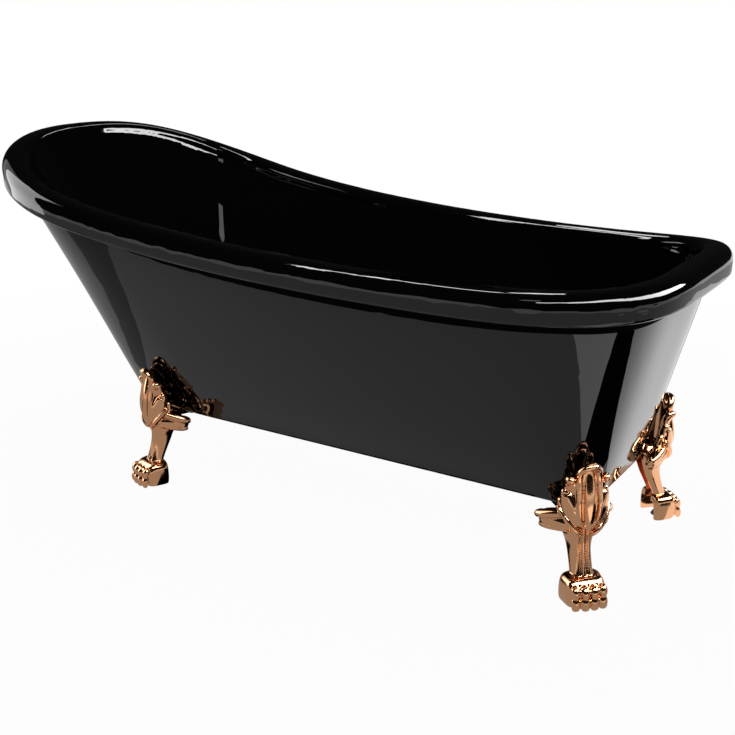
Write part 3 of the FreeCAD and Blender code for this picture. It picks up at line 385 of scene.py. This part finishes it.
def wood_grain():
    """Node group: colour, roughness and height of sawn timber with its grain along X."""
    group = bpy.data.node_groups.new("wood_grain", "ShaderNodeTree")
    socket = group.interface.new_socket(name="Ring Scale", in_out="INPUT", socket_type="NodeSocketFloat")
    socket.default_value = 60.0
    for name, shade in (("Early", (0.62, 0.44, 0.26, 1.0)), ("Late", (0.42, 0.26, 0.13, 1.0))):
        socket = group.interface.new_socket(name=name, in_out="INPUT", socket_type="NodeSocketColor")
        socket.default_value = shade
    group.interface.new_socket(name="Colour", in_out="OUTPUT", socket_type="NodeSocketColor")
    group.interface.new_socket(name="Roughness", in_out="OUTPUT", socket_type="NodeSocketFloat")
    group.interface.new_socket(name="Height", in_out="OUTPUT", socket_type="NodeSocketFloat")
    entry = group.nodes.new("NodeGroupInput")
    leave = group.nodes.new("NodeGroupOutput")
    place = group.nodes.new("ShaderNodeTexCoord")
    along = group.nodes.new("ShaderNodeMapping")
    along.inputs["Scale"].default_value = (0.08, 1.0, 1.0)
    rings = group.nodes.new("ShaderNodeTexNoise")
    rings.inputs["Detail"].default_value = 3.0
    rings.inputs["Distortion"].default_value = 0.8
    pores = group.nodes.new("ShaderNodeTexNoise")
    pores.inputs["Scale"].default_value = 900.0
    pores.inputs["Detail"].default_value = 2.0
    bands = group.nodes.new("ShaderNodeMapRange")
    bands.inputs["From Min"].default_value = 0.38
    bands.inputs["From Max"].default_value = 0.62
    shade = group.nodes.new("ShaderNodeMix")
    shade.data_type = "RGBA"
    relief = group.nodes.new("ShaderNodeMath")
    relief.operation = "MULTIPLY"
    dry = group.nodes.new("ShaderNodeMapRange")
    dry.inputs["To Min"].default_value = 0.55
    dry.inputs["To Max"].default_value = 0.8
    link = group.links.new
    link(place.outputs["Object"], along.inputs["Vector"])
    link(along.outputs["Vector"], rings.inputs["Vector"])
    link(along.outputs["Vector"], pores.inputs["Vector"])
    link(entry.outputs["Ring Scale"], rings.inputs["Scale"])
    link(rings.outputs["Fac"], bands.inputs["Value"])
    link(bands.outputs["Result"], shade.inputs["Factor"])
    link(entry.outputs["Early"], shade.inputs["A"])
    link(entry.outputs["Late"], shade.inputs["B"])
    link(rings.outputs["Fac"], relief.inputs[0])
    link(pores.outputs["Fac"], relief.inputs[1])
    link(pores.outputs["Fac"], dry.inputs["Value"])
    link(shade.outputs["Result"], leave.inputs["Colour"])
    link(dry.outputs["Result"], leave.inputs["Roughness"])
    link(relief.outputs[0], leave.inputs["Height"])
    return group


GRAIN = wood_grain()


def timber(name, early, late, ring_scale):
    """Bare sanded timber."""
    paint = bpy.data.materials.new(name)
    paint.use_nodes = True
    tree = paint.node_tree
    shader = tree.nodes["Principled BSDF"]
    grain = tree.nodes.new("ShaderNodeGroup")
    grain.node_tree = GRAIN
    grain.inputs["Ring Scale"].default_value = ring_scale
    grain.inputs["Early"].default_value = (*early, 1.0)
    grain.inputs["Late"].default_value = (*late, 1.0)
    relief = tree.nodes.new("ShaderNodeBump")
    relief.inputs["Strength"].default_value = 0.35
    relief.inputs["Distance"].default_value = 0.0008
    tree.links.new(grain.outputs["Colour"], shader.inputs["Base Color"])
    tree.links.new(grain.outputs["Roughness"], shader.inputs["Roughness"])
    tree.links.new(grain.outputs["Height"], relief.inputs["Height"])
    tree.links.new(relief.outputs["Normal"], shader.inputs["Normal"])
    return paint


dress("base_board", timber("birch_ply", (0.66, 0.50, 0.32), (0.52, 0.36, 0.20), 22.0))
softwood = timber("softwood", (0.62, 0.42, 0.22), (0.45, 0.26, 0.11), 70.0)
corners = ("near_head", "far_head", "near_foot", "far_foot")
for bearer in ("bearer_near", "bearer_far", "cross_bearer_head", "cross_bearer_foot"):
    dress(bearer, softwood)
for corner in corners:
    dress("corner_block_" + corner, softwood)

# --- Foot fixings -----------------------------------------------------------
# Zinc plated bolts, nuts and levelling screws, rubber gaskets between the feet
# and the skirt, and nylon glides on the floor.

zinc_steel = finish("zinc_steel", (0.60, 0.61, 0.62), (0.22, 0.42), 140.0, 0.15, 0.0003, metallic=1.0)
seal_rubber = finish("seal_rubber", (0.018, 0.018, 0.018), (0.55, 0.75), 220.0, 0.35, 0.0004)
glide_nylon = finish("glide_nylon", (0.05, 0.05, 0.052), (0.38, 0.55), 160.0, 0.2, 0.0003)
for corner in corners:
    dress("foot_gasket_" + corner, seal_rubber)
    for fixing in ("foot_bolts_", "foot_nuts_", "leveller_screw_"):
        dress(fixing + corner, zinc_steel)
    dress("leveller_pad_" + corner, glide_nylon)

# --- Waste and overflow -----------------------------------------------------
# Chromed brass flange, plug and overflow face with rubber seals, on moulded
# plastic plumbing with a ribbed nut and a pale overflow pipe.

chrome = finish("waste_chrome", (0.83, 0.84, 0.85), (0.05, 0.12), 90.0, 0.05, 0.0002, metallic=1.0)
for bright in ("waste_flange", "plug_cap", "plug_stem", "overflow_face"):
    dress(bright, chrome)
for seal in ("waste_seal_upper", "waste_seal_lower", "plug_seal", "overflow_seal"):
    dress(seal, seal_rubber)
dress("click_cartridge", finish("cartridge_plastic", (0.62, 0.60, 0.55), (0.35, 0.5), 200.0, 0.2, 0.0003))
plumbing = finish("waste_plastic", (0.72, 0.72, 0.70), (0.32, 0.5), 120.0, 0.25, 0.0004)
for pipework in ("waste_tee", "overflow_elbow", "tee_nut"):
    dress(pipework, plumbing)
dress("overflow_pipe", finish("overflow_tube", (0.50, 0.51, 0.52), (0.3, 0.45), 90.0, 0.2, 0.0004))

# --- Claw feet --------------------------------------------------------------
# Four castings, polished and plated in rose copper: an acanthus leaf with curled
# lobes over a lion's paw. Each is hollow behind and bolted under the skirt.

# One is modelled in its own frame, u out from the bath, v across, z up, in mm,
# as clay laid on in closed lobes, pressed into one skin, then cut to its seats.
MM = 0.001


def smooth_rows(rows, steps):
    """Points on a Catmull-Rom line through the rows, each row a place and its sizes."""
    rows = np.array(rows, float)
    padded = np.vstack([2 * rows[0] - rows[1], rows, 2 * rows[-1] - rows[-2]])
    out = []
    for place in np.linspace(0, len(rows) - 1 - 1e-9, steps):
        first = int(place)
        t = place - first
        a, b, c, d = padded[first:first + 4]
        out.append(0.5 * (2 * b + (c - a) * t + (2 * a - 5 * b + 4 * c - d) * t ** 2
                          + (3 * b - a - 3 * c + d) * t ** 3))
    return np.array(out)


def lobe(clay, rows, outward=(1.0, 0.0, 0.0), around=24, steps=26, side=1):
    """A closed lobe: rows of u, v, z, half width, half depth and cup, mirrored where side is -1."""
    line = smooth_rows(rows, steps)
    spine = line[:, :3]
    along = np.gradient(spine, axis=0)
    along /= np.linalg.norm(along, axis=1)[:, None]
    outward = np.array(outward, float)
    rings = []
    for place in range(steps):
        share = place / (steps - 1)
        tip = math.sqrt(max(0.0, 1 - abs(2 * share - 1) ** 6)) * 0.98 + 0.02
        across = np.cross(along[place], outward)
        across /= np.linalg.norm(across)
        normal = np.cross(across, along[place])
        width, depth, cup = line[place, 3:6]
        ring = []
        for turn in np.linspace(0, 2 * math.pi, around, endpoint=False):
            x = math.cos(turn)
            y = math.sin(turn)
            point = spine[place] + across * width * tip * x + normal * (depth * tip * y + cup * x * x)
            ring.append(clay.verts.new((point[0] * MM, point[1] * side * MM, point[2] * MM)))
        rings.append(ring)
    skin = []
    for lower, upper in zip(rings, rings[1:]):
        for turn in range(around):
            after = (turn + 1) % around
            skin.append(clay.faces.new((lower[turn], lower[after], upper[after], upper[turn])))
    skin.append(clay.faces.new(rings[0][::-1]))
    skin.append(clay.faces.new(rings[-1]))
    if side < 0:
        for face in skin:
            face.normal_flip()


def block(clay, levels, flare, grooves=(), around=56, steps=30):
    """A closed upright block: levels of z, back u, front u, half width and squareness."""
    line = smooth_rows(levels, steps)
    rings = []
    for z, back, front, half_width, square in line:
        ring = []
        for turn in np.linspace(0, 2 * math.pi, around, endpoint=False):
            c = math.cos(turn)
            s = math.sin(turn)
            forward = math.copysign(abs(s) ** (2 / square), s)
            v = half_width * (1 - flare * forward) * math.copysign(abs(c) ** (2 / square), c)
            u = (back + front) / 2 + (front - back) / 2 * forward
            if s > 0:
                for place, breadth, deep in grooves:
                    u -= deep * math.exp(-((v - place) / breadth) ** 2)
            ring.append(clay.verts.new((u * MM, v * MM, z * MM)))
        rings.append(ring)
    for lower, upper in zip(rings, rings[1:]):
        for turn in range(around):
            after = (turn + 1) % around
            clay.faces.new((lower[turn], lower[after], upper[after], upper[turn]))
    clay.faces.new(rings[0][::-1])
    clay.faces.new(rings[-1])


def clay_object(name, clay):
    """The clay as an object, its faces turned outward."""
    bmesh.ops.recalc_face_normals(clay, faces=clay.faces)
    mesh = bpy.data.meshes.new(name)
    clay.to_mesh(mesh)
    clay.free()
    thing = bpy.data.objects.new(name, mesh)
    bpy.context.collection.objects.link(thing)
    return thing


def apply_modifier(thing, kind, **settings):
    """Adds a modifier with these settings and applies it."""
    bpy.ops.object.select_all(action="DESELECT")
    thing.select_set(True)
    bpy.context.view_layer.objects.active = thing
    worker = thing.modifiers.new(kind.lower(), kind)
    for name, value in settings.items():
        setattr(worker, name, value)
    bpy.ops.object.modifier_apply(modifier=worker.name)


clay = bmesh.new()

# Shank: broad smooth sides, two grooves down the front with a narrow ridge between.
block(clay, [
    (40, 38, 70, 21, 2.6), (52, 34, 67, 21, 2.6), (66, 28, 61, 20.5, 2.6), (84, 19, 55, 20.5, 2.6),
    (100, 11, 51, 21, 2.7), (114, 6, 49, 23.5, 2.8), (128, 1, 49, 28, 2.9), (142, -4, 50, 31, 3.0),
    (158, -6, 52, 31, 3.0), (172, 2, 56, 24, 3.0),
], 0.24, grooves=((-5.6, 2.6, 5.5), (5.6, 2.6, 5.5)), around=120, steps=44)

# Leaf: a full belly, three ribs that meet at its root, and a hood that curls outward.
lobe(clay, [
    (46, 0, 139, 8, 8, 0), (46, 0, 152, 17, 13, 0), (47, 0, 172, 28, 15, 0), (48, 0, 192, 31, 14, 0),
    (48, 0, 212, 27, 12, 0), (47, 0, 236, 20, 9, 0), (47, 0, 260, 17, 7, 0), (47, 0, 270, 10, 5, 0),
], steps=34, around=36)
lobe(clay, [
    (55, 0, 134, 3.5, 4, 0), (60, 0, 148, 6.0, 6, 0), (64, 0, 168, 9.5, 7, 0), (64, 0, 192, 11.5, 7, 0),
    (61, 0, 216, 10.5, 6, 0), (56, 0, 238, 8.5, 5, 0), (53, 0, 252, 6.5, 4, 0), (53, 0, 264, 5.5, 3, 0),
], steps=34)
for side in (-1, 1):
    lobe(clay, [
        (53, 4, 137, 2.4, 4, 0), (58, 11, 155, 3.6, 5, 0), (61, 18, 176, 4.4, 6, 0), (60, 20, 200, 4.8, 6, 0),
        (55, 19, 224, 5.4, 6, 1), (52, 19, 244, 5.6, 6, 1.5), (55, 17, 259, 5.4, 6, 2),
        (60, 9, 268, 5.0, 5, 1),
    ], side=side, steps=34)
lobe(clay, [
    (46, -21, 240, 6, 5, 0), (52, -19, 256, 7, 5.5, 0), (58, -11, 267, 8, 6, 0), (60, 0, 271, 8.5, 6, 0),
    (58, 11, 267, 8, 6, 0), (52, 19, 256, 7, 5.5, 0), (46, 21, 240, 6, 5, 0),
], outward=(0.25, 0, 0.97))
lobe(clay, [
    (46, -17, 246, 7, 4, 0), (49, -12, 259, 8, 5, 0), (50, 0, 266, 8, 5, 0), (49, 12, 259, 8, 5, 0),
    (46, 17, 246, 7, 4, 0),
], outward=(0.25, 0, 0.97))

for side in (-1, 1):
    # Upper curl: a small lobe swept back to the skirt and rolled over at its end.
    lobe(clay, [
        (46, 11, 204, 12, 8, 0), (45, 18, 215, 14, 8, 1), (43, 25, 225, 14, 8.5, 1),
        (42, 30, 233, 12.5, 8.5, 0.5), (45, 34, 240, 10.5, 8.5, 0), (51, 34, 242, 8.5, 8, 0),
        (55, 31, 237, 6.5, 6.5, 0),
    ], side=side, outward=(0.75, 0.66, 0))
    # Middle lobe: the largest, full and bright, wrapped round the side to the skirt.
    lobe(clay, [
        (52, 10, 148, 7, 9, 0), (50, 18, 162, 14, 12, 0), (46, 25, 180, 19, 14, 0), (41, 30, 196, 18, 14, 0),
        (39, 34, 208, 14, 12, 0), (38, 38, 216, 9.5, 9, 0), (42, 41, 220, 6, 6, 0),
    ], side=side, outward=(0.72, 0.69, 0))
    lobe(clay, [
        (30, 26, 150, 12, 9, 0), (26, 31, 166, 14, 9, 0), (26, 36, 182, 12, 8, 0), (26, 40, 194, 8, 6, 0),
        (29, 43, 199, 5, 5, 0),
    ], side=side, outward=(0.6, 0.8, 0))
    # Fold under it: a raised edge that runs down to the root, with a pocket behind.
    lobe(clay, [
        (30, 49, 190, 5, 5, 0), (40, 45, 178, 5, 6, 0), (50, 36, 163, 5, 7, 0), (56, 24, 148, 5, 7, 0),
        (56, 13, 138, 5, 6, 0), (52, 7, 131, 4, 4, 0),
    ], side=side)
    # Side volute under the skirt's edge: one blunt wing, a fold running along its middle.
    lobe(clay, [
        (40, 16, 152, 18, 22, 0), (28, 28, 151, 18, 20, 0), (15, 41, 150, 17.5, 17, 0),
        (4, 52, 149, 16, 14, 0), (-5, 60, 147, 13, 11, 0), (-10, 65, 146, 9, 7, 0),
    ], side=side, outward=(0.8, 0.6, 0))
    lobe(clay, [
        (42, 30, 173, 7, 8, 0), (30, 40, 171, 9, 11, 0), (16, 52, 166, 9.5, 12, 0), (4, 62, 161, 9, 11, 0),
        (-7, 70, 157, 7.5, 8, 0), (-12, 74, 156, 5, 5, 0),
    ], side=side, outward=(0.8, 0.6, 0))
    lobe(clay, [
        (42, 22, 141, 6, 7, 0), (31, 34, 141, 7, 9, 0), (18, 46, 140, 7.5, 10, 0), (6, 56, 138, 7, 9, 0),
        (-3, 63, 137, 5.5, 6, 0), (-8, 67, 138, 3.5, 4, 0),
    ], side=side, outward=(0.8, 0.6, 0))

# Paw: smooth bulged sides, a shoulder rounded in to the shank, four toes in two rows.
block(clay, [
    (1.5, 30, 80, 36, 4.5), (8, 29.5, 83, 38.5, 4.6), (22, 29, 85, 39.5, 4.6), (36, 29.5, 83, 39, 4.6),
    (46, 30, 79, 37, 4.4), (52, 31, 74, 33, 4.0), (55, 33, 69, 27, 3.4),
], 0.08)
toe_spacing = 17.4
for toe in range(4):
    across = (toe - 1.5) * toe_spacing
    reach = 3.0 if toe in (1, 2) else 0.0
    lobe(clay, [
        (75, across * 0.96, 40, 7, 6, 0), (82 + reach * 0.5, across, 40, 8.4, 7.6, 0),
        (86 + reach, across, 35, 8.3, 7.4, 0), (87 + reach, across, 29, 7.2, 6, 0),
        (84 + reach, across, 24, 6.4, 5, 0),
    ], steps=22)
    lobe(clay, [
        (80, across, 23, 7.0, 6, 0), (86 + reach, across, 21, 8.5, 7, 0), (89 + reach, across, 14, 8.6, 7, 0),
        (89 + reach, across, 7, 8.2, 6, 0), (87 + reach, across, 1.5, 7.6, 5, 0),
    ], steps=22)
foot_model = clay_object("foot_model", clay)
skin_grain = 1.15 * MM
apply_modifier(foot_model, "REMESH", mode="VOXEL", voxel_size=skin_grain)
apply_modifier(foot_model, "SMOOTH", factor=0.5, iterations=6)

# Seats: the leaf's back lies just off the skirt, the rest under its flat base,
# the soles just off the floor.
knee = 0.166
leaf_back = 0.0028
skirt_lean = 0.385
sole = 0.0015
for vert in foot_model.data.vertices:
    u, v, z = vert.co
    if z > knee:
        seat = leaf_back + skirt_lean * (z - knee)
        if u < seat:
            if seat - u < z - knee:
                vert.co.x = seat
            else:
                vert.co.z = knee
    vert.co.z = max(vert.co.z, sole)


def cutter(name, levels, flare=0.0):
    """A closed block used to hollow or to add to the casting."""
    shape = bmesh.new()
    block(shape, levels, flare, around=40, steps=16)
    return clay_object(name, shape)


def rod(name, radius, low, high, place):
    """A round bar, upright, as a tool for a boss or a bore."""
    bpy.ops.mesh.primitive_cylinder_add(
        vertices=48, radius=radius * MM, depth=(high - low) * MM,
        location=(place[0] * MM, place[1] * MM, (low + high) / 2 * MM))
    bpy.ops.object.transform_apply(location=True)
    bpy.context.object.name = name
    return bpy.context.object


def combine(thing, tool, how):
    """Cuts the tool from the casting or joins it on, and takes the tool away."""
    apply_modifier(thing, "BOOLEAN", operation=how, solver="MANIFOLD", object=tool)
    bpy.data.objects.remove(tool)


# The casting is hollow at the back, from the sole up to the plate.
screw_place = (59, 0)
screw_boss_radius = 12
screw_bore_radius = 5.06
bolt_back = -46
bolt_offset = 16
bolt_bore_radius = 4.5
combine(foot_model, cutter("paw_hollow", [
    (-6, -20, 78, 30, 6), (20, -20, 78, 30, 6), (38, -20, 76, 27, 6), (40, -20, 76, 27, 6),
]), "DIFFERENCE")
combine(foot_model, cutter("shank_hollow", [
    (36, -40, 56, 14, 6), (60, -40, 48, 13.5, 6), (84, -40, 40, 13.5, 6), (120, -40, 34, 15, 6),
    (150, -40, 32, 22, 6), (172, -40, 32, 22, 6),
]), "DIFFERENCE")
combine(foot_model, rod("screw_boss", screw_boss_radius, 12.5, 46, screw_place), "UNION")
plate = bmesh.new()
block(plate, [(158, -75, 14, 28, 12), (166, -75, 14, 28, 12)], 0.0, around=72, steps=2)
combine(foot_model, clay_object("mounting_plate", plate), "UNION")
combine(foot_model, rod("screw_bore", screw_bore_radius, -5, 49, screw_place), "DIFFERENCE")
for side in (-1, 1):
    bolt_place = (bolt_back, bolt_offset * side)
    combine(foot_model, rod("bolt_bore", bolt_bore_radius, 150, 175, bolt_place), "DIFFERENCE")

bpy.ops.object.select_all(action="DESELECT")
foot_model.select_set(True)
bpy.context.view_layer.objects.active = foot_model
crease_angle = math.radians(48)
bpy.ops.object.shade_smooth_by_angle(angle=crease_angle)

copper = finish("rose_copper", (0.72, 0.375, 0.20), (0.09, 0.16), 60.0, 0.12, 0.0003, metallic=1.0)
foot_model.data.materials.clear()
foot_model.data.materials.append(copper)
for face in foot_model.data.polygons:
    face.material_index = 0

foot_places = {
    "near_head": (-0.345, -0.189, -110.0),
    "far_head": (-0.345, 0.189, 110.0),
    "near_foot": (0.640, -0.179, -45.0),
    "far_foot": (0.640, 0.179, 45.0),
}
for corner, (x, y, facing) in foot_places.items():
    cast = foot_model.data.copy()
    cast.transform(Matrix.Translation((x, y, 0)) @ Matrix.Rotation(math.radians(facing), 4, "Z"))
    foot = bpy.data.objects.new("foot_casting_" + corner, cast)
    bpy.context.collection.objects.link(foot)
    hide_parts("claw_foot_" + corner)
    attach(foot, "bath")
bpy.data.objects.remove(foot_model)

# --- Last step --------------------------------------------------------------
# The view layer is brought up to date.

bpy.context.view_layer.update()
